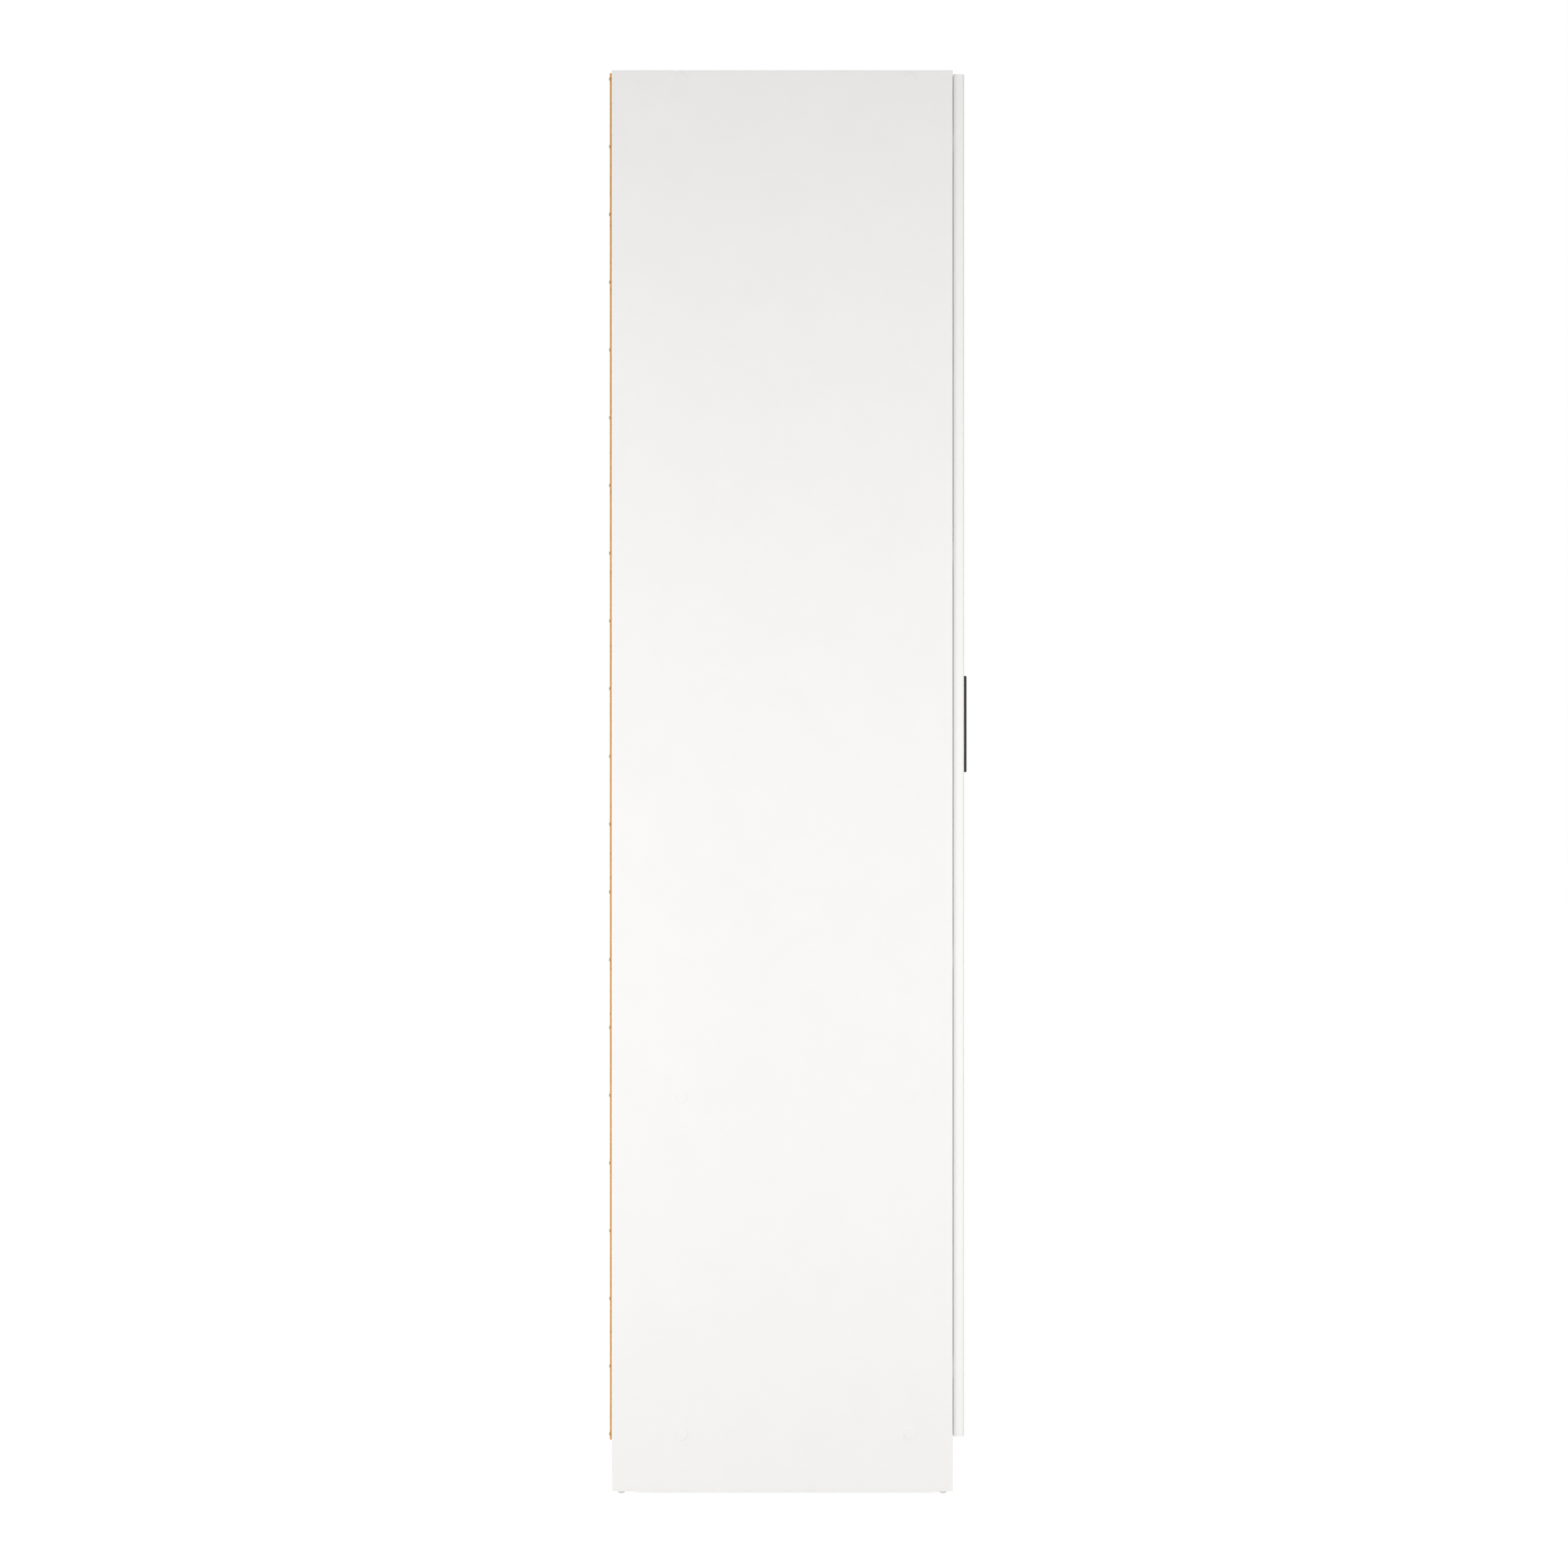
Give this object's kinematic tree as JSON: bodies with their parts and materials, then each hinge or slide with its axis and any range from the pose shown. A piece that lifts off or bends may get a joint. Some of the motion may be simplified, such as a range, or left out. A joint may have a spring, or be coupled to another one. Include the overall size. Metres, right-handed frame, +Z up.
{
  "type": "wardrobe",
  "caption": "Tall white wardrobe with full-height hinged doors, black bar handles, hanging rail, hat shelf, lower shelf and a nailed hardboard back.",
  "frame": {"origin": "on the floor, under the middle of the outline, handles and nail heads included", "axes": "+X to the right seen from the front, +Y from front to back, +Z up; the doors are on the -Y side"},
  "size_m": [1.0012, 0.5462, 2.1],
  "materials": {
    "white_melamine_board": "white melamine-faced chipboard, fine satin grain",
    "hardboard_back": "brown hardboard, white lacquer on the inner face",
    "white_pvc_strip": "extruded white plastic",
    "white_cover_cap": "thin white plastic cap",
    "nail_steel": "bright drawn wire, darkened",
    "beech_dowel": "plain beech",
    "chromed_rail": "chromed steel tube",
    "nickel_steel": "nickel-plated pressed steel",
    "zinc_steel": "zinc-plated steel",
    "black_handle": "matt black powder coat",
    "clear_bumper": "soft clear pad"
  },
  "bodies": {
    "carcass": {"left_side_panel": "white_melamine_board", "right_side_panel": "white_melamine_board", "bottom_panel": "white_melamine_board", "middle_shelf": "white_melamine_board", "top_panel": "white_melamine_board", "hat_shelf": "white_melamine_board", "plinth_front": "white_melamine_board", "plinth_rear": "white_melamine_board", "back_panel_left": "hardboard_back", "back_panel_right": "hardboard_back", "back_joining_strip": "white_pvc_strip", "clothes_rail": "chromed_rail", "rail_socket_left": "nickel_steel", "rail_socket_right": "nickel_steel", "wall_bracket_left": "zinc_steel", "wall_bracket_right": "zinc_steel", "panel_screws": "zinc_steel", "screw_caps": "white_cover_cap", "wood_dowels": "beech_dowel", "back_nails": "nail_steel", "floor_glides": "nickel_steel", "shelf_pins": "nickel_steel", "rail_socket_screws": "zinc_steel", "wall_bracket_screws": "zinc_steel", "hinge_plate_screws": "zinc_steel", "hinge_arm_screws": "zinc_steel", "left_hinge_plates": "nickel_steel", "right_hinge_plates": "nickel_steel", "left_hinge_arm_1": "nickel_steel", "left_hinge_arm_2": "nickel_steel", "left_hinge_arm_3": "nickel_steel", "left_hinge_arm_4": "nickel_steel", "right_hinge_arm_1": "nickel_steel", "right_hinge_arm_2": "nickel_steel", "right_hinge_arm_3": "nickel_steel", "right_hinge_arm_4": "nickel_steel"},
    "left_door": {"left_door_panel": "white_melamine_board", "left_hinge_cup_1": "nickel_steel", "left_hinge_cup_2": "nickel_steel", "left_hinge_cup_3": "nickel_steel", "left_hinge_cup_4": "nickel_steel", "left_hinge_pins": "nickel_steel", "left_cup_screws": "zinc_steel", "left_handle": "black_handle", "left_handle_screws": "zinc_steel", "left_door_bumpers": "clear_bumper"},
    "right_door": {"right_door_panel": "white_melamine_board", "right_hinge_cup_1": "nickel_steel", "right_hinge_cup_2": "nickel_steel", "right_hinge_cup_3": "nickel_steel", "right_hinge_cup_4": "nickel_steel", "right_hinge_pins": "nickel_steel", "right_cup_screws": "zinc_steel", "right_handle": "black_handle", "right_handle_screws": "zinc_steel", "right_door_bumpers": "clear_bumper"}
  },
  "joints": [
    {"name": "left_door_swing", "type": "hinge", "parent": "carcass", "child": "left_door", "pos_m": [-0.49133, -0.24425, 1.0895], "axis": [0, 0, -1], "range_deg": [0, 100]},
    {"name": "right_door_swing", "type": "hinge", "parent": "carcass", "child": "right_door", "pos_m": [0.49133, -0.24425, 1.0895], "axis": [0, 0, 1], "range_deg": [0, 100]}
  ]
}
